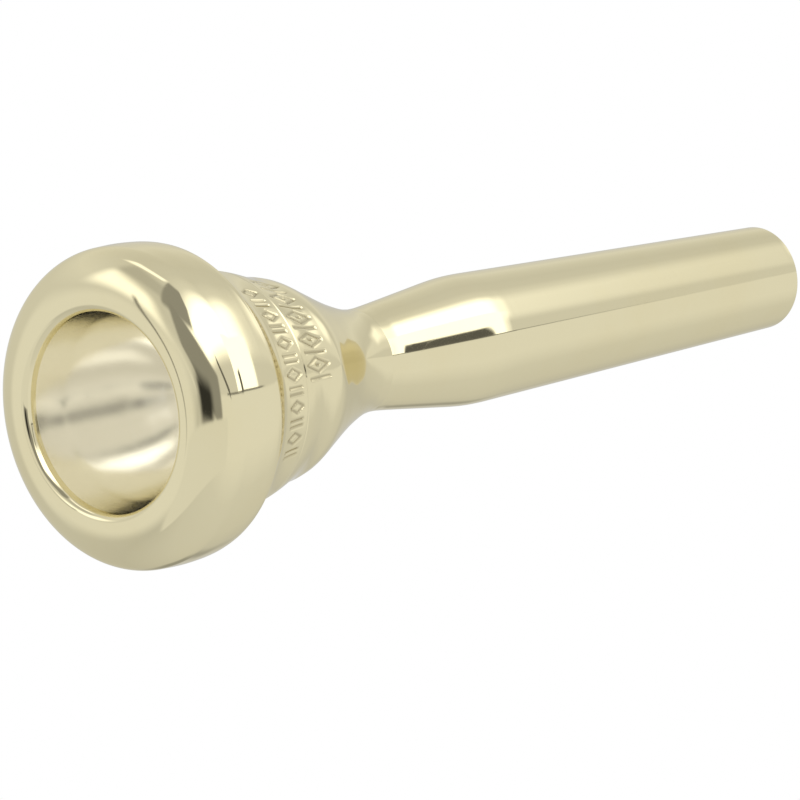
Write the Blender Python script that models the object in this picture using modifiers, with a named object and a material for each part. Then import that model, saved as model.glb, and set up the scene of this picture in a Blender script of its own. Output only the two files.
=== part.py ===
"""A brass trumpet mouthpiece, built as the three turned pieces of a screw-together mouthpiece.

The bore runs along X. The rim faces -X and the shank end faces +X. The origin is on the bore's axis
where the mouth of the instrument's receiver grips the shank. Stations along the bore are measured
from the bite, the edge round the mouth of the bowl, and radii from the axis, both in millimetres.
"""

import math

import bmesh
import bpy

MM = 0.001
TURN_STEPS = 64

# Overall sizes.
SHANK_END_STATION = 88.0
RECEIVER_STATION = 63.0
FIT_GAP = 0.3

# Rim: the cushion against the lips, and the band behind it.
RIM_OUTER_ROUND = 2.76
RIM_OUTER_CENTRE = (2.76, 11.12)
RIM_FACE_ROUND = 5.2
RIM_FACE_START = 135.0
BITE_ROUND = 0.8
BITE_END_ANGLE = 260.0
BAND_OUTLINE = ((2.76, 13.88), (4.2, 13.79), (5.6, 13.74), (6.5, 13.64), (7.2, 13.42))
RIM_BACK = 7.2
RIM_SOCKET_RADIUS = 10.9
RIM_SOCKET_FLOOR = 3.0
RIM_BACK_CHAMFER = 0.15

# Cup: the bowl inside, the shoulder and front land, the groove, the rear land, and the tail behind it.
CUP_WALL = (
    (-0.05, 8.607), (1.23, 8.41), (3.0, 8.17), (3.3, 8.12), (5.5, 7.55), (7.5, 6.72),
    (9.3, 5.60), (10.8, 4.35), (12.0, 3.25), (13.2, 2.40), (14.6, 1.93), (16.0, 1.83),
)
SHOULDER_OUTLINE = (
    (7.5, 13.20), (8.2, 12.58), (9.0, 11.90), (9.8, 11.35), (10.6, 10.98),
    (11.5, 10.70), (12.5, 10.48), (13.4, 10.34), (13.95, 10.27),
)
LAND_OUTLINE = ((14.15, 10.24), (15.0, 10.03), (16.0, 9.72), (17.0, 9.40), (18.0, 9.17), (18.9, 9.05))
BOWL_OUTLINE = (
    (18.9, 9.05), (19.8, 8.84), (20.7, 8.48), (21.8, 7.96), (23.0, 7.40), (24.5, 6.70),
    (26.0, 6.05), (27.5, 5.48), (28.8, 5.05), (30.0, 4.75), (31.2, 4.59),
)
LAND_GROOVE = (14.05, 10.17)
BOSS_RADIUS = 10.6
BOSS_CHAMFER = 0.4
THROAT_RADIUS = 1.83
TAIL_END = 31.2
TAIL_SOCKET_RADIUS = 3.3
TAIL_SOCKET_FLOOR = 21.7
TAIL_CHAMFER = 0.3

# Backbore: the tenon that screws into the cup's tail, the flare, and the tapered shank.
TENON_RADIUS = 3.0
TENON_CHAMFER = 0.4
FLARE_OUTLINE = ((31.5, 4.57), (32.4, 4.58), (33.6, 4.67), (35.5, 4.87), (40.0, 5.38), (44.5, 5.88))
SHANK_END_RADIUS = 4.80
SHANK_END_ROUND = 0.15
BACKBORE_WALL = (
    (22.0, 1.83), (26.0, 1.83), (34.0, 2.25), (46.0, 2.90), (60.0, 3.50), (74.0, 3.92), (88.0, 4.20),
)

BRASS = (0.80, 0.73, 0.55, 1.0)
LINED_BRASS = (0.78, 0.72, 0.55, 1.0)


def clear_scene():
    for thing in list(bpy.data.objects):
        bpy.data.objects.remove(thing, do_unlink=True)


def named_collection(name):
    group = bpy.data.collections.new(name)
    bpy.context.scene.collection.children.link(group)
    return group


def brass(name, colour, roughness):
    material = bpy.data.materials.new(name)
    material.use_nodes = True
    shader = material.node_tree.nodes["Principled BSDF"]
    shader.inputs["Base Color"].default_value = colour
    shader.inputs["Metallic"].default_value = 1.0
    shader.inputs["Roughness"].default_value = roughness
    return material


def arc(centre, radius, start, end, pieces):
    """Points on an arc. Angle 0 points to the shank end and 90 points away from the axis."""
    points = []
    for index in range(pieces + 1):
        angle = math.radians(start + (end - start) * index / pieces)
        points.append((centre[0] + radius * math.cos(angle), centre[1] + radius * math.sin(angle)))
    return points


def slopes(stations):
    """A slope at each station that lets the curve through them neither overshoot nor ripple."""
    steps = [(b[1] - a[1]) / (b[0] - a[0]) for a, b in zip(stations, stations[1:])]
    inner = [
        0.0 if before * after <= 0 else 2 * before * after / (before + after)
        for before, after in zip(steps, steps[1:])
    ]
    return [steps[0], *inner, steps[-1]]


def radius_at(stations, station):
    """The radius of the smooth curve through the stations."""
    lean = slopes(stations)
    last = len(stations) - 2
    index = next((i for i in range(last + 1) if station <= stations[i + 1][0]), last)
    (start, low), (end, high) = stations[index], stations[index + 1]
    span = end - start
    t = (station - start) / span
    return (
        (2 * t**3 - 3 * t**2 + 1) * low
        + (t**3 - 2 * t**2 + t) * span * lean[index]
        + (3 * t**2 - 2 * t**3) * high
        + (t**3 - t**2) * span * lean[index + 1]
    )


def run(stations, start, end, pieces):
    """Points on the smooth curve through the stations, from one station to another."""
    points = []
    for index in range(pieces + 1):
        station = start + (end - start) * index / pieces
        points.append((station, radius_at(stations, station)))
    return points


def turned(name, profile, group, material):
    """Turns a closed profile about the bore's axis."""
    sheet = bmesh.new()
    corners = [
        sheet.verts.new(((station - RECEIVER_STATION) * MM, 0.0, radius * MM))
        for station, radius in profile
    ]
    for first, second in zip(corners, corners[1:] + corners[:1]):
        sheet.edges.new((first, second))
    mesh = bpy.data.meshes.new(name)
    sheet.to_mesh(mesh)
    sheet.free()
    piece = bpy.data.objects.new(name, mesh)
    group.objects.link(piece)
    mesh.materials.append(material)
    turn = piece.modifiers.new("turn", "SCREW")
    turn.axis = "X"
    turn.angle = math.tau
    turn.steps = TURN_STEPS
    turn.render_steps = TURN_STEPS
    turn.use_merge_vertices = True
    turn.merge_threshold = 0.00001
    turn.use_smooth_shade = True
    turn.use_normal_flip = True
    return piece


def rim_profile():
    """From the rim's face over the band to the back face, then the socket, and out up the wall and bite."""
    outer = arc(RIM_OUTER_CENTRE, RIM_OUTER_ROUND, RIM_FACE_START, 90, 6)
    band = run(BAND_OUTLINE, BAND_OUTLINE[0][0], RIM_BACK, 6)[1:]
    back = [
        (RIM_BACK, RIM_SOCKET_RADIUS + RIM_BACK_CHAMFER),
        (RIM_BACK - RIM_BACK_CHAMFER, RIM_SOCKET_RADIUS),
        (RIM_SOCKET_FLOOR, RIM_SOCKET_RADIUS),
    ]
    lean = math.radians(RIM_FACE_START)
    shift = RIM_OUTER_ROUND - RIM_FACE_ROUND
    face_centre = (
        RIM_OUTER_CENTRE[0] + shift * math.cos(lean),
        RIM_OUTER_CENTRE[1] + shift * math.sin(lean),
    )
    bite_centre = (face_centre[0] - RIM_FACE_ROUND + BITE_ROUND, face_centre[1])
    bite = arc(bite_centre, BITE_ROUND, BITE_END_ANGLE, 180, 6)
    face = arc(face_centre, RIM_FACE_ROUND, 180, RIM_FACE_START, 6)
    wall = run(CUP_WALL, RIM_SOCKET_FLOOR, bite[0][0], 3)[:-1]
    return outer + band + back + wall + bite + face[1:-1]


def cup_profile():
    """From the boss over the shoulder, lands and bowl to the tail, then the tail's socket and the wall."""
    boss_front = RIM_SOCKET_FLOOR + FIT_GAP
    shoulder_front = RIM_BACK + FIT_GAP
    boss = [
        (boss_front, BOSS_RADIUS - BOSS_CHAMFER),
        (boss_front + BOSS_CHAMFER, BOSS_RADIUS),
        (shoulder_front, BOSS_RADIUS),
    ]
    shoulder = run(SHOULDER_OUTLINE, shoulder_front, SHOULDER_OUTLINE[-1][0], 12)
    land = run(LAND_OUTLINE, LAND_OUTLINE[0][0], LAND_OUTLINE[-1][0], 7)
    bowl = run(BOWL_OUTLINE, BOWL_OUTLINE[0][0], TAIL_END, 15)[1:]
    socket = [
        (TAIL_END, TAIL_SOCKET_RADIUS + TAIL_CHAMFER),
        (TAIL_END - TAIL_CHAMFER, TAIL_SOCKET_RADIUS),
        (TAIL_SOCKET_FLOOR, TAIL_SOCKET_RADIUS),
        (TAIL_SOCKET_FLOOR, THROAT_RADIUS),
    ]
    wall = run(CUP_WALL, CUP_WALL[-1][0], boss_front, 18)
    return boss + shoulder + [LAND_GROOVE] + land + bowl + socket + wall


def backbore_profile():
    """From the tenon over the flare and shank to the end, then back up the bore."""
    tenon_front = TAIL_SOCKET_FLOOR + FIT_GAP
    shoulder = TAIL_END + FIT_GAP
    tenon = [
        (tenon_front, TENON_RADIUS - TENON_CHAMFER),
        (tenon_front + TENON_CHAMFER, TENON_RADIUS),
        (shoulder, TENON_RADIUS),
    ]
    flare = run(FLARE_OUTLINE, shoulder, FLARE_OUTLINE[-1][0], 12)
    round_centre = (SHANK_END_STATION - SHANK_END_ROUND, SHANK_END_RADIUS - SHANK_END_ROUND)
    end = arc(round_centre, SHANK_END_ROUND, 90, 0, 3)
    bore = run(BACKBORE_WALL, SHANK_END_STATION, tenon_front, 20)
    return tenon + flare + end + bore


clear_scene()
mouthpiece = named_collection("trumpet_mouthpiece")
plated = brass("plated_brass", BRASS, 0.08)
lining = brass("bore_brass", LINED_BRASS, 0.14)
turned("rim", rim_profile(), mouthpiece, plated)
turned("cup", cup_profile(), mouthpiece, plated)
turned("backbore", backbore_profile(), mouthpiece, lining)
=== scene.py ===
# %% [markdown]
# # A plated brass trumpet mouthpiece
#
# This lesson dresses the solid model of a trumpet mouthpiece for a picture. The real one is
# turned on a lathe from brass bar, polished, engraved round the outside of its cup and plated
# pale gold. We build the same three turned pieces again, finely enough for a mirror finish,
# cut their screw threads and the engraving, mix the finishes, and set up a small studio.
#
# The solid model is loaded first. Its pieces are already in the right place and on the right
# moving bodies, so every position below is measured from them.

# %% Load the solid model
import math

import bmesh
import bpy
import numpy as np
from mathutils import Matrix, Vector
from mathutils.geometry import interpolate_bezier


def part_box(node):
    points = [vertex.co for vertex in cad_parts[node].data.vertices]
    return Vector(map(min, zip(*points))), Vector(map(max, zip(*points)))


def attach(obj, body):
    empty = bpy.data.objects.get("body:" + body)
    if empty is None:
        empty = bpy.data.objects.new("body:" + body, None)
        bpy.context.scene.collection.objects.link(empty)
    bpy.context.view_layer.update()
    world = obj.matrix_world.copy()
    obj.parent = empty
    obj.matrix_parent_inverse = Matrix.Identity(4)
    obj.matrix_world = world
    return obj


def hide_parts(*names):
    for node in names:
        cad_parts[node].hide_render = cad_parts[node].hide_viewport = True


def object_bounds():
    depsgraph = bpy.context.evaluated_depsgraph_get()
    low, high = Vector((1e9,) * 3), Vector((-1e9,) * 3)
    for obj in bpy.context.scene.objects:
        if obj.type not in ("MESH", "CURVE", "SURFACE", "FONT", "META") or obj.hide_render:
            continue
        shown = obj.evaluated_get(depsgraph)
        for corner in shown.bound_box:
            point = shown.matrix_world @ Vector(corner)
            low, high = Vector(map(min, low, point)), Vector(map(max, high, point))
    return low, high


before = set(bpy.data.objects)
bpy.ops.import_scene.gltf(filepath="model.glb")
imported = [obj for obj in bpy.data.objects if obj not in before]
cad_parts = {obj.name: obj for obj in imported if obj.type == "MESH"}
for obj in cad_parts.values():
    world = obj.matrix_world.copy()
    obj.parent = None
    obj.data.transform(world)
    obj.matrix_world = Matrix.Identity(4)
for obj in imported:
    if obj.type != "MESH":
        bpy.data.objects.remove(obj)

cad_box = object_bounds()
print("solid model, mm:", [round(1000 * side, 2) for side in cad_box[1] - cad_box[0]])

# %% [markdown]
# ## Where things are
#
# A turner measures along the work from one mark and across it from the axis. We do the same:
# a *station* is how far behind the bite a point is, the bite being the edge round the bowl's
# mouth, and a *radius* is how far it is from the bore's axis. Both are in millimetres. The
# axis is Blender's X axis, and the shank ends at station 88, so the solid model's end face
# fixes where station 0 is. A point of a section lies in the XZ plane until it is spun.

# %% Stations and radii
MM = 0.001
LENGTH = 88.0
BITE_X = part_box("backbore")[1].x - LENGTH * MM


def at(station, radius):
    """The point of the XZ plane at this station and radius."""
    return Vector((BITE_X + station * MM, 0.0, radius * MM))


print("station 0 is at x =", round(BITE_X, 5), "m")

# %% [markdown]
# ## Drawing a section like a turner's template
#
# Everything on this object is round, so each piece is one closed section spun about the axis.
# A section could be typed in as a long list of vertices, but nobody could read it. Instead we
# draw it with a pen: a single vertex is extruded to make a straight stroke, spun about a
# centre to make a true arc, or led along Bezier curves to make a flowing one. True arcs and
# smooth curves matter here, because a mirror finish shows every kink of the line as a crease
# in its reflections.

# %% The pen
MERGE = 0.002 * MM      # points closer than this are one point


class Pen:
    """Draws one section, a stroke at a time, and spins it into a solid of revolution."""

    def __init__(self, station, radius):
        self.mesh = bmesh.new()
        self.tip = self.mesh.verts.new(at(station, radius))

    def go(self, point):
        """One short stroke to a point: the tip is extruded, and its copy moved there."""
        made = bmesh.ops.extrude_vert_indiv(self.mesh, verts=[self.tip])
        self.tip = made["verts"][0]
        self.tip.co = point

    def line(self, station, radius, strokes=1):
        """A straight line, in equal strokes."""
        start, end = self.tip.co.copy(), at(station, radius)
        for stroke in range(strokes):
            self.go(start.lerp(end, (stroke + 1) / strokes))
        return self

    def arc(self, station, radius, degrees, steps):
        """A true arc about a centre, clockwise when the rim is on the left."""
        made = bmesh.ops.spin(
            self.mesh, geom=[self.tip], cent=at(station, radius), axis=(0, 1, 0),
            angle=math.radians(degrees), steps=steps, use_duplicate=False,
        )
        self.tip = next(v for v in made["geom_last"] if isinstance(v, bmesh.types.BMVert))
        return self

    def flow(self, stations, spacing):
        """A smooth stroke through the stations. It starts where the pen is."""
        steps = [(b[1] - a[1]) / (b[0] - a[0]) for a, b in zip(stations, stations[1:])]
        leans = [steps[0]] + [
            0.0 if a * b <= 0 else 2 * a * b / (a + b) for a, b in zip(steps, steps[1:])
        ] + [steps[-1]]
        for (start, low), (end, high), leave, arrive in zip(
            stations, stations[1:], leans, leans[1:]
        ):
            third = (end - start) / 3
            count = max(1, round(abs(end - start) / spacing))
            curve = interpolate_bezier(
                at(start, low), at(start + third, low + leave * third),
                at(end - third, high - arrive * third), at(end, high), count + 1,
            )
            for point in curve[1:]:
                self.go(point)
        return self

    def spun(self, steps):
        """Closes the section and spins it a full turn about the bore's axis."""
        bmesh.ops.remove_doubles(self.mesh, verts=self.mesh.verts[:], dist=MERGE)
        bmesh.ops.spin(
            self.mesh, geom=self.mesh.verts[:] + self.mesh.edges[:], cent=(0, 0, 0),
            axis=(1, 0, 0), angle=math.tau, steps=steps, use_merge=True, use_duplicate=False,
        )
        return self.mesh


print("pen strokes:", [name for name in vars(Pen) if not name.startswith("_")])

# %% [markdown]
# A finished piece needs its doubles merged and its faces pointing outwards. It is shaded
# smooth, except where two faces meet at a real corner. Without those corners the shading of
# a mating face would bleed round into the polished one and draw a false dark ring.

# %% Finish a piece
CORNER = math.radians(40)


def finished(sheet, name):
    """Makes an object of a bmesh, cleaned up and shaded."""
    bmesh.ops.remove_doubles(sheet, verts=sheet.verts[:], dist=MERGE)
    bmesh.ops.recalc_face_normals(sheet, faces=sheet.faces[:])
    for face in sheet.faces:
        face.smooth = True
    for edge in sheet.edges:
        edge.smooth = edge.calc_face_angle(0.0) < CORNER
    mesh = bpy.data.meshes.new(name)
    sheet.to_mesh(mesh)
    sheet.free()
    piece = bpy.data.objects.new(name, mesh)
    bpy.context.scene.collection.objects.link(piece)
    triangles = sum(len(face.vertices) - 2 for face in mesh.polygons)
    print(f"{name}: {len(mesh.vertices)} vertices, {triangles} triangles")
    return piece


print("edges stay sharp above", round(math.degrees(CORNER)), "degrees")

# %% [markdown]
# ## The rim
#
# The rim is the cushion that the lips press on, with a plain band behind it. Its front is
# three arcs that run into each other: a tight one at the bite, the crisp edge that the lips
# feel, then a broad flat one for comfort, then a rounder one outside. Behind the band is the
# socket whose thread takes the cup. We start at the crest, the foremost circle, and draw
# outwards, over the band, and back through the socket and out of the bowl.

# %% Turn the rim
OUTER_CENTRE, OUTER_ROUND = (2.76, 11.12), 2.68
OUTER_SWEEP = 43.4      # degrees of the outer arc
FACE_ROUND = 5.12       # radius of the broad arc
FACE_SWEEP = 45.0
BITE_ROUND = 0.8
BITE_SWEEP = 82.4
BAND_CORNER = (6.93, 13.35)     # centre of the small round at the back of the band
BAND_CORNER_SWEEP = 88
RIM_BACK = 7.2
SOCKET = 11.0           # radius at the bottom of the socket's thread
SOCKET_FLOOR = 3.0
SOCKET_CHAMFER = 0.15
RIM_TURN_STEPS = 400

shift = (FACE_ROUND - OUTER_ROUND) * math.cos(math.radians(FACE_SWEEP))
face_centre = (OUTER_CENTRE[0] + shift, OUTER_CENTRE[1] - shift)
crest = (face_centre[0] - FACE_ROUND, face_centre[1])
bite_centre = (crest[0] + BITE_ROUND, crest[1])
bite_end = (
    bite_centre[0] - BITE_ROUND * math.cos(math.radians(BITE_SWEEP)),
    bite_centre[1] - BITE_ROUND * math.sin(math.radians(BITE_SWEEP)),
)
UPPER_WALL = ((3.0, 8.17), (2.4, 8.262), (1.23, 8.435), bite_end)
ease = math.radians(45.0 - OUTER_SWEEP)
outer_end = (
    OUTER_CENTRE[0] - OUTER_ROUND * math.sin(ease),
    OUTER_CENTRE[1] + OUTER_ROUND * math.cos(ease),
)
BAND = (outer_end, (4.2, 13.84), (5.6, 13.78), (6.5, 13.68), (6.95, 13.57))

rim_pen = Pen(*crest)
rim_pen.arc(*face_centre, FACE_SWEEP, 36).arc(*OUTER_CENTRE, OUTER_SWEEP, 32)
rim_pen.flow(BAND, 0.12)
rim_pen.arc(*BAND_CORNER, BAND_CORNER_SWEEP, 10).line(RIM_BACK, SOCKET + SOCKET_CHAMFER, 3)
rim_pen.line(RIM_BACK - SOCKET_CHAMFER, SOCKET).line(SOCKET_FLOOR, SOCKET, 3)
rim_pen.line(*UPPER_WALL[0], 3).flow(UPPER_WALL, 0.15).arc(*bite_centre, BITE_SWEEP, 24)
rim = finished(rim_pen.spun(RIM_TURN_STEPS), "rim_and_band")
print("crest at station", round(crest[0], 3), "mouth", round(2 * bite_end[1], 2), "mm across")

# %% [markdown]
# ## The cup
#
# The cup carries the bowl. Outside, a hollow shoulder falls from the rim's band to a narrow
# land, a fine groove divides that from a rounded land, and the bowl's back then sweeps down to
# the tail. Inside, the bowl narrows to the throat. A boss in front screws into the rim, and a
# socket in the tail takes the backbore. The two lands get rings of vertices about a tenth of a
# millimetre apart, because they will be engraved.

# %% Turn the cup
SEAM = 0.02             # what shows of a joint that is screwed up tight
BOSS = 10.5             # radius at the bottom of the boss's thread
BOSS_CHAMFER = 0.4
THROAT = 1.83
TAIL_END = 31.2
TAIL_SOCKET = 3.4
TAIL_CHAMFER = 0.3
TAIL_FLOOR = 21.7
EDGE_BREAK = 0.02       # a real edge is never quite sharp
LAND_SPACING = 0.11
CUP_TURN_STEPS = 540
SHOULDER = ((7.3, 13.32), (8.2, 12.58), (9.0, 11.90), (9.8, 11.35), (10.6, 10.98))
FRONT_LAND = ((10.6, 10.98), (11.5, 10.70), (12.5, 10.48), (13.4, 10.34), (13.95, 10.27))
GROOVE = (14.05, 10.17)
REAR_LAND = (
    (14.15, 10.24), (15.0, 10.03), (16.0, 9.72), (17.0, 9.40), (18.0, 9.17), (18.9, 9.05),
)
BOWL_BACK = (
    (18.9, 9.05), (19.8, 8.84), (20.7, 8.48), (21.8, 7.96), (23.0, 7.40), (24.5, 6.70),
    (26.0, 6.05), (27.5, 5.48), (28.8, 5.05), (30.0, 4.75), (TAIL_END, 4.59),
)
BOWL_WALL = (
    (16.0, THROAT), (14.6, 1.93), (13.2, 2.40), (12.0, 3.25), (10.8, 4.35), (9.3, 5.60),
    (7.5, 6.72), (5.5, 7.55), (3.6, 8.078), (3.0, 8.17),
)

cup_pen = Pen(*UPPER_WALL[0])
cup_pen.line(SOCKET_FLOOR, BOSS - BOSS_CHAMFER, 3).line(SOCKET_FLOOR + BOSS_CHAMFER, BOSS)
cup_pen.line(RIM_BACK + SEAM, BOSS, 3).line(RIM_BACK + SEAM, SHOULDER[0][1] + EDGE_BREAK, 2)
cup_pen.line(*SHOULDER[0]).flow(SHOULDER, 0.25).flow(FRONT_LAND, LAND_SPACING)
cup_pen.line(*GROOVE).line(*REAR_LAND[0]).flow(REAR_LAND, LAND_SPACING).flow(BOWL_BACK, 0.4)
cup_pen.line(TAIL_END, TAIL_SOCKET + TAIL_CHAMFER, 2).line(TAIL_END - TAIL_CHAMFER, TAIL_SOCKET)
cup_pen.line(TAIL_FLOOR, TAIL_SOCKET, 5).line(TAIL_FLOOR, THROAT, 2)
cup_pen.line(*BOWL_WALL[0], 3).flow(BOWL_WALL, 0.35)
cup_sheet = cup_pen.spun(CUP_TURN_STEPS)
print("cup before engraving:", len(cup_sheet.verts), "vertices")

# %% [markdown]
# ## The engraving
#
# A maker rolls or engraves a band of marks round the outside of the cup. Ours is a plain
# ornament of lozenges and bars, in a small row on the front land and a large one on
# the rear land. A mark is a list of points, each a station and a turn in degrees from the top
# of the object towards its front. The rows run only part of the way round, as a maker's mark
# does.

# %% Draw the marks
SMALL_ROW, SMALL_PITCH = 29, 7.6        # degrees: where a row starts, and from mark to mark
LARGE_ROW, LARGE_PITCH = 18, 13.5
BAR_ASIDE = 1.5         # degrees from the middle of a pair of bars to each of them
BAR_AFTER = 6.7         # degrees from a large lozenge to the bar after it


def lozenge(station, turn, reach, spread):
    return [
        (station - reach, turn), (station, turn + spread), (station + reach, turn),
        (station, turn - spread), (station - reach, turn),
    ]


marks = []
for step in range(12):
    turn = SMALL_ROW + SMALL_PITCH * step
    if step % 2:
        marks.append([(11.4, turn - BAR_ASIDE), (13.3, turn - BAR_ASIDE)])
        marks.append([(11.4, turn + BAR_ASIDE), (13.3, turn + BAR_ASIDE)])
    else:
        marks.append(lozenge(12.35, turn, 1.0, 2.7))
for step in range(5):
    turn = LARGE_ROW + LARGE_PITCH * step
    marks.append(lozenge(16.5, turn, 1.8, 3.8))
    marks.append([(16.2, turn), (16.8, turn)])
    marks.append([(14.8, turn + BAR_AFTER), (18.2, turn + BAR_AFTER)])
print(len(marks), "marks")

# %% [markdown]
# A boolean cut for every stroke would be slow and would leave ragged faces in a mirror finish.
# A graver pushes metal away under the line it follows, so we do that: every vertex near a line
# is pressed in towards the axis, deepest in the middle. How deep it went is kept with the
# vertex, so that the finish can darken the cuts later.

# %% Cut them
CUT_DEPTH = 0.11
CUT_HALF_WIDTH = 0.2
LANDS = (10.7, 18.9)    # from this station to that
UNDER_LANDS = 8.9       # the lands' skin is further out than this


def engrave(sheet):
    """Presses the marks into the lands, and keeps how deep each vertex went as "engraved"."""
    note = sheet.verts.layers.float.new("engraved")
    lands = [
        vertex for vertex in sheet.verts
        if LANDS[0] * MM < vertex.co.x - BITE_X < LANDS[1] * MM
        and math.hypot(*vertex.co.yz) > UNDER_LANDS * MM
    ]
    place = np.array([vertex.co for vertex in lands])
    station = (place[:, 0] - BITE_X) / MM
    radius = np.hypot(place[:, 1], place[:, 2]) / MM
    around = np.arctan2(-place[:, 1], place[:, 2]) * radius
    cut = np.zeros(len(lands))
    for mark in marks:
        for (start, start_turn), (end, end_turn) in zip(mark, mark[1:]):
            along = end - start
            across = math.radians(end_turn - start_turn) * radius
            off = station - start
            aside = around - math.radians(start_turn) * radius
            share = np.clip((off * along + aside * across) / (along**2 + across**2), 0, 1)
            gap = np.hypot(off - share * along, aside - share * across) / CUT_HALF_WIDTH
            cut = np.maximum(cut, (1 - np.clip(gap, 0, 1) ** 2) ** 2)
    for vertex, depth, reach in zip(lands, cut, radius):
        vertex[note] = depth
        vertex.co.y *= 1 - depth * CUT_DEPTH / reach
        vertex.co.z *= 1 - depth * CUT_DEPTH / reach
    print("vertices cut:", int((cut > 0).sum()), "of", len(lands))


engrave(cup_sheet)
cup = finished(cup_sheet, "cup_and_lands")

# %% [markdown]
# ## The backbore
#
# The backbore is the long taper that goes into the instrument. Its tenon screws into the cup's
# tail, its flare swells to the shank, and the shank then narrows to the end, about 1 in 20.
# The turner blends the flare into the shank over a few millimetres. The bore widens all the
# way through it.

# %% Turn the backbore
TENON = 2.9
TENON_CHAMFER = 0.4
SHANK_END = 4.80
END_ROUND = 0.15        # rounds both edges of the end face
BORE_END = 4.20
BACK_TURN_STEPS = 320
FLARE = (
    (TAIL_END + 2 * SEAM, 4.57), (32.4, 4.58), (33.6, 4.67), (35.5, 4.87), (40.0, 5.38),
    (43.0, 5.713), (44.0, 5.792), (45.0, 5.832), (46.0, 5.838), (47.0, 5.818), (48.0, 5.793),
)
BORE = (
    (LENGTH - END_ROUND, BORE_END), (74.0, 3.92), (60.0, 3.50), (46.0, 2.90), (34.0, 2.25),
    (26.0, THROAT),
)

back_pen = Pen(TAIL_FLOOR + SEAM, THROAT)
back_pen.line(TAIL_FLOOR + SEAM, TENON - TENON_CHAMFER, 2)
back_pen.line(TAIL_FLOOR + SEAM + TENON_CHAMFER, TENON).line(TAIL_END + SEAM, TENON, 5)
back_pen.line(TAIL_END + SEAM, FLARE[0][1] - EDGE_BREAK, 2)
back_pen.line(*FLARE[0]).flow(FLARE, 0.25).line(LENGTH - END_ROUND, SHANK_END, 52)
back_pen.arc(LENGTH - END_ROUND, SHANK_END - END_ROUND, 90, 6)
back_pen.line(LENGTH, BORE_END + END_ROUND, 2)
back_pen.arc(LENGTH - END_ROUND, BORE_END + END_ROUND, 90, 5).flow(BORE, 1.0)
back_pen.line(TAIL_FLOOR + SEAM, THROAT, 4)
backbore = finished(back_pen.spun(BACK_TURN_STEPS), "shank_and_backbore")

# %% [markdown]
# ## The screw threads
#
# Two threads hold the mouthpiece together: a fine one behind the rim and a smaller one in the
# neck. Each is a ridge that winds round a cylinder. We draw the ridge's cross-section as one
# small face and spin it with a small step along the axis, so that it climbs one pitch a turn.
# The inner and outer threads are half a pitch apart, so each lies in the other's groove.

# %% Cut the threads
TURN_STEPS = 96
FOOT_SHARE, TOP_SHARE = 0.44, 0.06      # half widths of the ridge, in pitches
SUNK = 0.2              # share of its height that stands inside the metal


def thread(name, start, end, pitch, root, crest_radius):
    """A ridge from one station to another, standing on the root radius."""
    sheet = bmesh.new()
    rise = crest_radius - root
    foot, top = FOOT_SHARE * pitch, TOP_SHARE * pitch
    corners = [
        sheet.verts.new(at(start + offset, radius))
        for offset, radius in (
            (-foot, root - SUNK * rise), (-top, crest_radius), (top, crest_radius),
            (foot, root - SUNK * rise),
        )
    ]
    ridge = sheet.faces.new(corners)
    turns = (end - start) / pitch
    bmesh.ops.spin(
        sheet, geom=ridge.verts[:] + ridge.edges[:] + [ridge], cent=(0, 0, 0), axis=(1, 0, 0),
        dvec=(pitch * MM / TURN_STEPS, 0, 0), angle=turns * math.tau,
        steps=round(turns * TURN_STEPS), use_duplicate=False,
    )
    return finished(sheet, name)


RIM_PITCH, NECK_PITCH = 0.8, 0.75
boss_thread = thread("boss_thread", 3.9, 6.7, RIM_PITCH, BOSS, 10.74)
rim_thread = thread("rim_thread", 4.3, 6.3, RIM_PITCH, SOCKET, 10.78)
tenon_thread = thread("tenon_thread", 22.5, 30.4, NECK_PITCH, TENON, 3.13)
tail_thread = thread("tail_thread", 22.875, 30.375, NECK_PITCH, TAIL_SOCKET, 3.17)

# %% [markdown]
# ## Hanging the pieces on the moving bodies
#
# Each new piece rides on the body it belongs to and stands for the solid it replaces, which is
# hidden. The threads are extra detail on the same bodies.

# %% Riding and replacing
TURNED = {"rim": rim, "cup": cup, "backbore": backbore}
THREADS = {"rim": [rim_thread], "cup": [boss_thread, tail_thread], "backbore": [tenon_thread]}
for body, piece in TURNED.items():
    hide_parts(body)
    for rider in [piece, *THREADS[body]]:
        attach(rider, body)
print("bodies:", list(TURNED))

# %% [markdown]
# ## Tools for mixing finishes
#
# A few short helpers keep the node trees readable. They make a node with its settings, fill a
# socket with a value or a link, do a sum, mix two colours, and start an empty node group.

# %% Node helpers
def node(tree, kind, **settings):
    made = tree.nodes.new(kind)
    for name, value in settings.items():
        setattr(made, name, value)
    return made


def plug(tree, socket, value):
    """Links a node's output to a socket, or types a number or a colour into it."""
    if isinstance(value, bpy.types.NodeSocket):
        tree.links.new(value, socket)
    else:
        socket.default_value = value


def sum_of(tree, operation, *values):
    made = node(tree, "ShaderNodeMath", operation=operation)
    for socket, value in zip(made.inputs, values):
        plug(tree, socket, value)
    return made.outputs[0]


def mixed(tree, share, first, second):
    made = node(tree, "ShaderNodeMix", data_type="RGBA")
    for name, value in (("Factor", share), ("A", first), ("B", second)):
        socket = next(s for s in made.inputs if s.name == name and s.enabled)
        plug(tree, socket, value)
    return next(s for s in made.outputs if s.enabled)


def new_group(name, inputs, outputs):
    """An empty node group with its sockets, and its two end nodes."""
    tree = bpy.data.node_groups.new(name, "ShaderNodeTree")
    for in_out, sockets in (("INPUT", inputs), ("OUTPUT", outputs)):
        for socket, kind in sockets:
            tree.interface.new_socket(socket, in_out=in_out, socket_type="NodeSocket" + kind)
    return tree, node(tree, "NodeGroupInput").outputs, node(tree, "NodeGroupOutput").inputs


print("helpers:", [tool.__name__ for tool in (node, plug, sum_of, mixed, new_group)])

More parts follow.
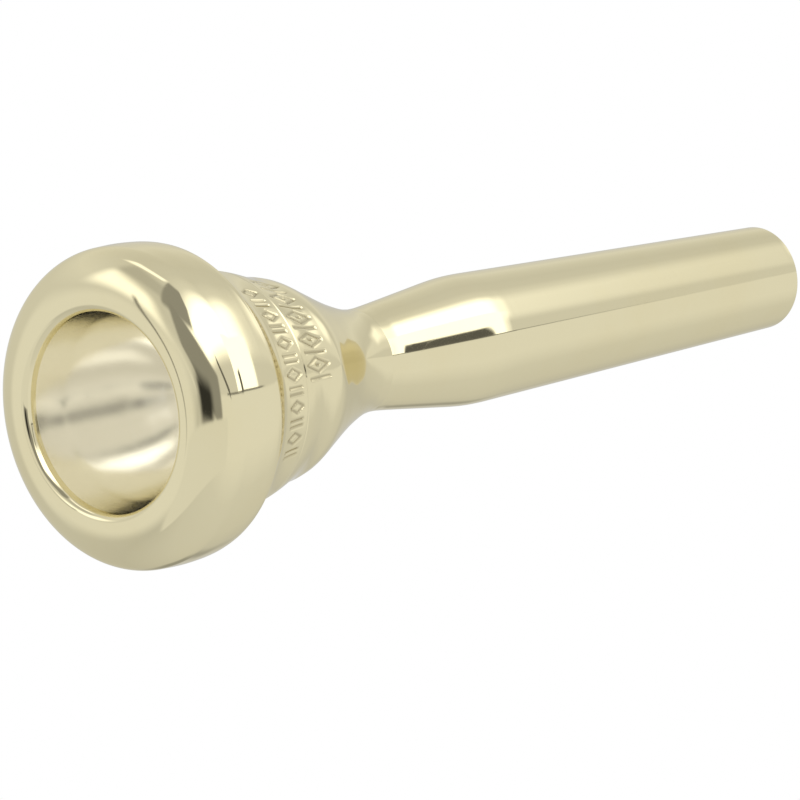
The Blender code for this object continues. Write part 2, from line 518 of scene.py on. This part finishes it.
# %% [markdown]
# ## What a lathe and a thumb leave behind
#
# Three effects are shared by all the finishes, so each is a node group. *Turning lines* are
# the fine rings that the tool and the polishing cloth leave round the axis. A wave texture
# would make them too regular, so they are a noise that changes only along the bore and
# outwards from it.

# %% Turning lines
def turning_lines():
    tree, given, made = new_group("turning_lines", [("Spacing mm", "Float")], [("Lines", "Float")])
    place = node(tree, "ShaderNodeTexCoord").outputs["Object"]
    parts = node(tree, "ShaderNodeSeparateXYZ")
    tree.links.new(place, parts.inputs[0])
    radius = sum_of(tree, "SQRT", sum_of(
        tree, "ADD", sum_of(tree, "POWER", parts.outputs["Y"], 2.0),
        sum_of(tree, "POWER", parts.outputs["Z"], 2.0)))
    spacing = sum_of(tree, "MULTIPLY", given["Spacing mm"], MM)
    ring = node(tree, "ShaderNodeCombineXYZ")
    tree.links.new(sum_of(tree, "DIVIDE", parts.outputs["X"], spacing), ring.inputs["X"])
    tree.links.new(sum_of(tree, "DIVIDE", radius, spacing), ring.inputs["Y"])
    noise = node(tree, "ShaderNodeTexNoise", noise_dimensions="2D")
    tree.links.new(ring.outputs[0], noise.inputs["Vector"])
    noise.inputs["Scale"].default_value = 1.0
    noise.inputs["Detail"].default_value = 3.0
    tree.links.new(noise.outputs["Fac"], made["Lines"])
    return tree


GROUPS = {"turning_lines": turning_lines()}
print("made", GROUPS["turning_lines"].name)

# %% [markdown]
# *Handling haze* is the soft cloudy film of a thing that has been picked up: a large, gentle
# noise of which only the upper part shows.

# %% Handling haze
HAZE_FROM, HAZE_TO = 0.42, 0.72


def handling_haze():
    tree, given, made = new_group("handling_haze", [("Patch mm", "Float")], [("Haze", "Float")])
    noise = node(tree, "ShaderNodeTexNoise")
    tree.links.new(node(tree, "ShaderNodeTexCoord").outputs["Object"], noise.inputs["Vector"])
    tree.links.new(sum_of(tree, "DIVIDE", 1 / MM, given["Patch mm"]), noise.inputs["Scale"])
    noise.inputs["Detail"].default_value = 4.0
    noise.inputs["Roughness"].default_value = 0.6
    spread = node(tree, "ShaderNodeMapRange", interpolation_type="SMOOTHSTEP")
    tree.links.new(noise.outputs["Fac"], spread.inputs["Value"])
    spread.inputs["From Min"].default_value = HAZE_FROM
    spread.inputs["From Max"].default_value = HAZE_TO
    tree.links.new(spread.outputs["Result"], made["Haze"])
    return tree


GROUPS["handling_haze"] = handling_haze()
print("made", GROUPS["handling_haze"].name)

# %% [markdown]
# *Hairlines* are the thin stray scratches of wiping: the narrow places where a stretched noise
# passes through its middle value. The stretch is turned askew of the bore, so that the
# scratches cross the turning lines.

# %% Hairlines
SCRATCH_TURN = (0.5, 0.3, 0.9)          # radians
SCRATCH_STRETCH = (1.0, 9.0, 5.0)


def hairlines():
    tree, given, made = new_group(
        "hairlines", [("Length mm", "Float"), ("Width", "Float")], [("Scratch", "Float")])
    stretch = node(tree, "ShaderNodeMapping")
    tree.links.new(node(tree, "ShaderNodeTexCoord").outputs["Object"], stretch.inputs["Vector"])
    stretch.inputs["Rotation"].default_value = SCRATCH_TURN
    stretch.inputs["Scale"].default_value = SCRATCH_STRETCH
    noise = node(tree, "ShaderNodeTexNoise")
    tree.links.new(stretch.outputs[0], noise.inputs["Vector"])
    tree.links.new(sum_of(tree, "DIVIDE", 1 / MM, given["Length mm"]), noise.inputs["Scale"])
    noise.inputs["Detail"].default_value = 1.0
    off = sum_of(tree, "ABSOLUTE", sum_of(tree, "SUBTRACT", noise.outputs["Fac"], 0.5))
    share = sum_of(tree, "DIVIDE", off, given["Width"])
    line = node(tree, "ShaderNodeMath", operation="SUBTRACT", use_clamp=True)
    line.inputs[0].default_value = 1.0
    tree.links.new(share, line.inputs[1])
    tree.links.new(line.outputs[0], made["Scratch"])
    return tree


GROUPS["hairlines"] = hairlines()
print("shared effects:", sorted(GROUPS))

# %% [markdown]
# ## The metal itself
#
# The plating is one thin pale gold skin, but it isn't one flat colour: it is a little paler
# where it is clean and a little warmer under the haze and along the turning lines. That tone
# is a fourth group. Where the graver has cut, the floor of the line is less polished and holds
# a trace of grime, so it is darker and rougher.

# %% Plating tone
WARM_FROM_HAZE, WARM_FROM_LINES, GRIME_IN_CUTS = 0.5, 0.12, 0.55


def plating_tone():
    tree, given, made = new_group(
        "plating_tone",
        [("Colour", "Color"), ("Warm", "Color"), ("Grime", "Color"), ("Haze", "Float"),
         ("Lines", "Float"), ("Cut", "Float")],
        [("Colour", "Color")])
    warmth = sum_of(tree, "MULTIPLY", given["Haze"], WARM_FROM_HAZE)
    ringed = sum_of(tree, "MULTIPLY", given["Lines"], WARM_FROM_LINES)
    tone = mixed(tree, warmth, given["Colour"], given["Warm"])
    tone = mixed(tree, ringed, tone, given["Warm"])
    dirt = sum_of(tree, "MULTIPLY", given["Cut"], GRIME_IN_CUTS)
    tone = mixed(tree, dirt, tone, given["Grime"])
    tree.links.new(tone, made["Colour"])
    return tree


GROUPS["plating_tone"] = plating_tone()
print("made", GROUPS["plating_tone"].name)

# %% [markdown]
# ## Four finishes
#
# One recipe makes all four metals, with different numbers: how bright the skin is, how rough
# it gets under the haze, how far apart the turning lines are and how deep. The outside is
# buffed to a mirror. The bowl is polished too, but more softly, because a buff can't reach
# into it as well. Its colour is painted paler than the plating outside. This is painted light
# for the hollow, where light that has met the metal two or three times would come out darker.
# The bore shows the reamer's rings. The threads are cut through to bare brass, which is
# yellower than the plating.

# %% Mix the metals
GRIME = (0.20, 0.16, 0.09)
EDGE_TINT = (0.92, 0.90, 0.81)  # plating keeps a little of its colour where it is seen edge on
PATCH_MM = 11.0                 # size of a patch of haze
SCRATCH_MM, SCRATCH_WIDTH = 14.0, 0.006
SCRATCH_DULL, CUT_DULL = 0.05, 0.16


def metal(name, colour, warm, smooth, rough, spacing, relief):
    """A metal finish. Relief is the depth of the turning lines in thousandths of a mm."""
    finish = bpy.data.materials.new(name)
    finish.use_nodes = True
    tree = finish.node_tree
    shader = tree.nodes["Principled BSDF"]

    def use(group, **inputs):
        made = node(tree, "ShaderNodeGroup", node_tree=GROUPS[group])
        for label, value in inputs.items():
            plug(tree, made.inputs[label.replace("_", " ")], value)
        return made.outputs[0]

    lines = use("turning_lines", Spacing_mm=spacing)
    haze = use("handling_haze", Patch_mm=PATCH_MM)
    scratch = use("hairlines", Length_mm=SCRATCH_MM, Width=SCRATCH_WIDTH)
    cut = node(tree, "ShaderNodeAttribute", attribute_name="engraved").outputs["Fac"]
    tone = use(
        "plating_tone", Colour=(*colour, 1), Warm=(*warm, 1), Grime=(*GRIME, 1),
        Haze=haze, Lines=lines, Cut=cut)
    tree.links.new(tone, shader.inputs["Base Color"])
    dull = sum_of(tree, "MULTIPLY_ADD", haze, rough - smooth, smooth)
    dull = sum_of(tree, "MULTIPLY_ADD", scratch, SCRATCH_DULL, dull)
    dull = sum_of(tree, "MULTIPLY_ADD", cut, CUT_DULL, dull)
    tree.links.new(dull, shader.inputs["Roughness"])
    shader.inputs["Metallic"].default_value = 1.0
    shader.inputs["Specular Tint"].default_value = (*EDGE_TINT, 1)
    bump = node(tree, "ShaderNodeBump")
    bump.inputs["Strength"].default_value = 1.0
    bump.inputs["Distance"].default_value = relief * MM * MM
    tree.links.new(sum_of(tree, "SUBTRACT", lines, scratch), bump.inputs["Height"])
    tree.links.new(bump.outputs[0], shader.inputs["Normal"])
    return finish


# colour clean and hazed, roughness clean and hazed, spacing of the lines in mm, relief
POLISHED, BOWL, BORED, BARE = (
    metal("polished_plating", (0.760, 0.698, 0.468), (0.745, 0.670, 0.425), 0.035, 0.07, 0.5, 0.15),
    # the bowl's colours are painted paler than the plating: painted light for the hollow
    metal("bowl_soft_polish_painted_paler", (0.89, 0.865, 0.76), (0.88, 0.845, 0.73), 0.14, 0.20, 0.4, 0.4),
    metal("reamed_bore", (0.70, 0.63, 0.42), (0.66, 0.56, 0.34), 0.22, 0.34, 0.25, 3.0),
    metal("bare_thread_brass", (0.78, 0.60, 0.30), (0.70, 0.50, 0.22), 0.20, 0.36, 0.2, 2.0),
)
print("finishes:", POLISHED.name, BOWL.name, BORED.name, BARE.name)

# %% [markdown]
# ## Which face gets which finish
#
# A face's own station and radius say what it is. Faces nearer the axis than the wall of the
# bowl belong to the bowl or the bore, faces between the wall and the outside skin are
# the mating faces and sockets, and everything else is outside.

# %% Dress the pieces
FINISHES = (POLISHED, BOWL, BORED, BARE)
BOWL_FROM, BOWL_TO = 0.3, 14.6          # stations between which the bowl has its own polish
BOWL_IN_RIM, BOWL_IN_CUP = 8.6, 8.2     # the radii that it lies within
SOCKET_FRONT, SOCKET_SKIN = SOCKET_FLOOR - 0.01, SOCKET + 0.1
BOSS_BACK = RIM_BACK + 0.05
TAIL_FRONT, TAIL_SKIN = TAIL_FLOOR - 0.1, 3.75
BORE_IN_CUP = 2.2
TENON_BACK, TENON_BORE = TAIL_END + 0.03, THROAT + 0.02
BORE_IN_SHANK = 4.3


def finish_of(body, station, radius):
    if body == "rim":
        if station > SOCKET_FRONT and radius < SOCKET_SKIN:
            return BARE
        return BOWL if station > BOWL_FROM and radius < BOWL_IN_RIM else POLISHED
    if body == "cup":
        on_boss = station < BOSS_BACK and radius > BOWL_IN_CUP
        in_tail = station > TAIL_FRONT and radius < TAIL_SKIN
        if on_boss or in_tail:
            return BARE
        if station < BOWL_TO and radius < BOWL_IN_CUP:
            return BOWL
        return BORED if radius < BORE_IN_CUP else POLISHED
    if station < TENON_BACK:
        return BORED if radius < TENON_BORE else BARE
    return BORED if radius < BORE_IN_SHANK else POLISHED


for body, piece in TURNED.items():
    for finish in FINISHES:
        piece.data.materials.append(finish)
    for face in piece.data.polygons:
        station, radius = (face.center.x - BITE_X) / MM, math.hypot(*face.center.yz) / MM
        face.material_index = FINISHES.index(finish_of(body, station, radius))
    for cut_thread in THREADS[body]:
        cut_thread.data.materials.append(BARE)
print("dressed", len(TURNED) + sum(map(len, THREADS.values())), "pieces")

# %% [markdown]
# ## The camera
#
# The camera looks down the object's length from beside its rim, a little from above, with a
# long lens, so that the round rim fills the left of the picture and the shank runs off to the
# right. It is about 56 cm away.

# %% Camera
CAMERA_PLACE = Vector((-0.4388, -0.3649, 0.1029))
CAMERA_AIM = Vector((-0.0227, 0.0027, -0.0051))
lens = bpy.data.cameras.new("camera")
lens.sensor_width = 36.0
lens.lens = 286.5
lens.clip_start, lens.clip_end = 0.01, 20.0
camera = bpy.data.objects.new("camera", lens)
bpy.context.scene.collection.objects.link(camera)
camera.location = CAMERA_PLACE
camera.rotation_mode = "QUATERNION"
camera.rotation_quaternion = (CAMERA_AIM - CAMERA_PLACE).to_track_quat("-Z", "Y")
bpy.context.scene.camera = camera
bpy.context.scene.view_settings.view_transform = "Standard"
print("camera", round((CAMERA_AIM - CAMERA_PLACE).length, 3), "m from its aim")

# %% [markdown]
# ## The floor
#
# The object is shown on plain pale paper lit so evenly that it comes out white. The floor
# glows white itself, so it shows no shadow, and it is kept out of the metal's reflections,
# because the studio below already says what the metal should reflect there.

# %% Floor
FLOOR_HALF_SIDE = 6.0   # metres
paper = bpy.data.materials.new("pale_paper")
paper.use_nodes = True
paper_tree = paper.node_tree
paper_tree.nodes.remove(paper_tree.nodes["Principled BSDF"])
glow = node(paper_tree, "ShaderNodeEmission")
glow.inputs["Color"].default_value = (1, 1, 1, 1)
paper_tree.links.new(glow.outputs[0], paper_tree.nodes["Material Output"].inputs["Surface"])

floor_sheet = bmesh.new()
bmesh.ops.create_grid(floor_sheet, x_segments=1, y_segments=1, size=FLOOR_HALF_SIDE)
floor_height = cad_box[0].z - MM
bmesh.ops.translate(floor_sheet, verts=floor_sheet.verts[:], vec=(0, 0, floor_height))
floor = finished(floor_sheet, "floor")
floor.data.materials.append(paper)
for ray in ("diffuse", "glossy", "transmission", "shadow"):
    setattr(floor, "visible_" + ray, False)

# %% [markdown]
# ## The studio
#
# Polished metal has hardly any look of its own: it shows the room. It is therefore lit inside
# a small room of paper and softboxes, and so is ours, painted on the world. The room's walls
# are an even grey level that changes slowly round the bore. On them hang
# cards, each a soft-edged patch of light or dark. A *strip* is placed by how far along the
# bore's direction it is and how far round, because the long softbox is hung parallel to the
# work. A *card* is placed by compass turn and height. Each is one use of one node group.

# %% A card of light or dark
def studio_card():
    numbers = (
        "Across", "Up", "Card Across", "Card Up", "Half Width", "Half Height", "Soft Sides",
        "Soft Ends", "Slant",
    )
    tree, given, made = new_group(
        "studio_card",
        [(name, "Float") for name in numbers] + [("Behind", "Color"), ("Card", "Color")],
        [("Colour", "Color")])
    across = sum_of(tree, "SUBTRACT", given["Across"], given["Card Across"])
    across = sum_of(tree, "WRAP", across, 180.0, -180.0)
    up = sum_of(tree, "SUBTRACT", given["Up"], given["Card Up"])
    up = sum_of(tree, "SUBTRACT", up, sum_of(tree, "MULTIPLY", across, given["Slant"]))
    up = sum_of(tree, "WRAP", up, 180.0, -180.0)
    masks = []
    sides, ends = (across, "Half Width", "Soft Sides"), (up, "Half Height", "Soft Ends")
    for offset, half, soft in (sides, ends):
        fade = node(tree, "ShaderNodeMapRange", interpolation_type="SMOOTHSTEP")
        tree.links.new(sum_of(tree, "ABSOLUTE", offset), fade.inputs["Value"])
        tree.links.new(sum_of(tree, "SUBTRACT", given[half], given[soft]), fade.inputs["From Min"])
        tree.links.new(sum_of(tree, "ADD", given[half], given[soft]), fade.inputs["From Max"])
        fade.inputs["To Min"].default_value = 1.0
        fade.inputs["To Max"].default_value = 0.0
        masks.append(fade.outputs["Result"])
    shown = mixed(tree, sum_of(tree, "MULTIPLY", *masks), given["Behind"], given["Card"])
    tree.links.new(shown, made["Colour"])
    return tree


card_group = studio_card()
print("card settings:", [socket.name for socket in card_group.interface.items_tree])

# %% [markdown]
# A reflection leaves the metal in some direction, and the world is asked what is there. We
# turn that direction into degrees in both ways: compass turn and height for the cards, and how
# far forward along the bore and how far round it for the strips and the walls.

# %% Directions
world = bpy.data.worlds.new("studio")
bpy.context.scene.world = world
world.use_nodes = True
room = world.node_tree
room.nodes.clear()
DEGREES = 180 / math.pi
ray = node(room, "ShaderNodeSeparateXYZ")
room.links.new(node(room, "ShaderNodeTexCoord").outputs["Generated"], ray.inputs[0])
ray_x, ray_y, ray_z = ray.outputs
compass = sum_of(room, "MULTIPLY", sum_of(room, "ARCTAN2", ray_y, ray_x), DEGREES)
height = sum_of(room, "MULTIPLY", sum_of(room, "ARCSINE", ray_z), DEGREES)
forward = sum_of(room, "MULTIPLY", sum_of(room, "ARCSINE", ray_x), DEGREES)
front_y = sum_of(room, "MULTIPLY", ray_y, -1.0)
around = sum_of(room, "MULTIPLY", sum_of(room, "ARCTAN2", ray_z, front_y), DEGREES)
print("directions are worked out with", len(room.nodes), "nodes")

# %% [markdown]
# The walls come first. Their level is read off a ramp round the bore: 0 degrees is level and
# towards the camera's side, and 90 is straight up. Then come the strips and the cards, each
# laid over what is behind it. The level 1 would show as the plating's own colour.

# %% Hang the cards
WALLS = (
    (-180, 0.80), (-150, 0.72), (-128, 0.66), (-100, 0.76), (-60, 0.80), (-40, 0.89),
    (-28, 0.93), (10, 0.93), (12.5, 0.80), (28, 0.80), (38, 0.92), (80, 0.94), (97, 0.77),
    (115, 0.75), (131, 0.80), (150, 0.90), (165, 0.80), (180, 0.80),
)
# middle (2 numbers), half size (2), softness (2), slant, level
STRIPS = {
    "long softbox": (-4, 57, 51, 19, 8, 9, 0.0, 2.3),
    "softbox's skirt": (31, 30.5, 16.5, 18.7, 1.5, 1.0, 0.0, 1.9),
    "softbox's edge": (12, 11.6, 40, 0.7, 1.5, 0.35, 0.0, 0.28),
    "softbox's end": (66, 80, 7, 20, 4, 12, 0.0, 1.45),
}
CARDS = {
    "far wall": (138, -10, 30, 18, 8, 8, 0.0, 0.93),
    "second light": (142, 26, 17, 10, 6, 7, -0.3, 1.6),
    "lit beam": (132, 65, 28, 4.5, 6, 3, 0.25, 1.6),
    "shade under it": (146, 50, 22, 8, 6, 4, 0.0, 0.60),
    "dark gap above": (-178, 55, 16, 19, 2, 4, 0.0, 0.36),
    "dark gap": (-163, 16, 24, 15, 2, 2, -0.55, 0.34),
    "tripod": (-167, 0, 12, 9, 5, 5, 0.0, 0.04),
    "table": (-168, -22, 40, 14, 2, 1, 0.12, 0.88),
    "softbox's stand": (-119, 20, 12, 3.0, 1.0, 1.2, -0.78, 0.17),
    "small clamp": (-54, 15, 4.5, 6, 1.5, 1.5, 0.0, 0.13),
    "stand's pole": (148, 4, 1.0, 15, 0.8, 4, 0.0, 0.30),
    "dark corner": (38, -43, 9, 11, 5, 5, 0.0, 0.40),
    "shade behind": (41, -11, 14, 14, 6, 6, 0.0, 0.66),
}

ramp = node(room, "ShaderNodeValToRGB")
stops = ramp.color_ramp.elements
for index, (angle, level) in enumerate(WALLS):
    place = (angle + 180) / 360
    if index == 0 or index == len(WALLS) - 1:
        stop = stops[0 if index == 0 else -1]
        stop.position = place
    else:
        stop = stops.new(place)
    stop.color = (level, level, level, 1)
room.links.new(sum_of(room, "DIVIDE", sum_of(room, "ADD", around, 180.0), 360.0), ramp.inputs[0])


def hang(cards, across, up, behind):
    """Lays the cards over what is behind them, first to last."""
    for label, (*shape, level) in cards.items():
        card = node(room, "ShaderNodeGroup", node_tree=card_group, label=label)
        colour = (level, level, level, 1)
        for socket, value in zip(card.inputs, (across, up, *shape, behind, colour)):
            plug(room, socket, value)
        behind = card.outputs["Colour"]
    return behind


outside = hang(CARDS, compass, height, hang(STRIPS, forward, around, ramp.outputs["Color"]))
print(len(STRIPS), "strips and", len(CARDS), "cards")

# %% [markdown]
# ## Filling the bowl
#
# Light that comes out of the bowl has met the metal two or three times, and each time it gets
# darker and yellower. In a studio such a hollow is filled with light from small cards held
# close to its mouth, where only the bowl can see them. A painted world has no near and far, so
# these cards are shown only to rays that have met the metal twice, and rays that have met it
# more often see plain paper.

# %% Cards for the bowl
PAPER = (1.02, 1.0, 0.96, 1)
SHADED_PAPER = (0.90, 0.87, 0.81, 1)
PAPER_SHARE = 0.75      # how much of the room the paper hides from the bowl
BOWL_CARDS = {
    "fill light": (-140, -18, 10, 15, 5, 8, 0.0, 2.0),
    "dark spot": (138, -6, 6, 9, 3, 4, 0.0, 0.30),
    "second dark spot": (150, 22, 6, 8, 3, 4, 0.0, 0.35),
    "third dark spot": (-160, -34, 8, 8, 4, 4, 0.0, 0.40),
    "dark edge": (125.5, -8, 3.5, 18, 1.5, 6, 0.0, 0.15),
}
path = node(room, "ShaderNodeLightPath").outputs
twice, often = (
    sum_of(room, "GREATER_THAN", path["Glossy Depth"], count) for count in (1.5, 2.5)
)
lining = mixed(room, PAPER_SHARE, outside, SHADED_PAPER)
filled = hang(BOWL_CARDS, compass, height, lining)
shown = mixed(room, twice, outside, filled)
shown = mixed(room, often, shown, PAPER)
print(len(BOWL_CARDS), "cards for the bowl")

# %% [markdown]
# The camera itself sees only white behind the object, as on the bright paper of a product
# picture. Reflections see the room.

# %% Light the world
sky = node(room, "ShaderNodeBackground")
room.links.new(mixed(room, path["Is Camera Ray"], shown, (1, 1, 1, 1)), sky.inputs["Color"])
room.links.new(sky.outputs[0], node(room, "ShaderNodeOutputWorld").inputs["Surface"])
print("the studio is", len(room.nodes), "nodes in all")

# %% [markdown]
# ## Sizes
#
# The picture's model is meant to be the size of the solid model.
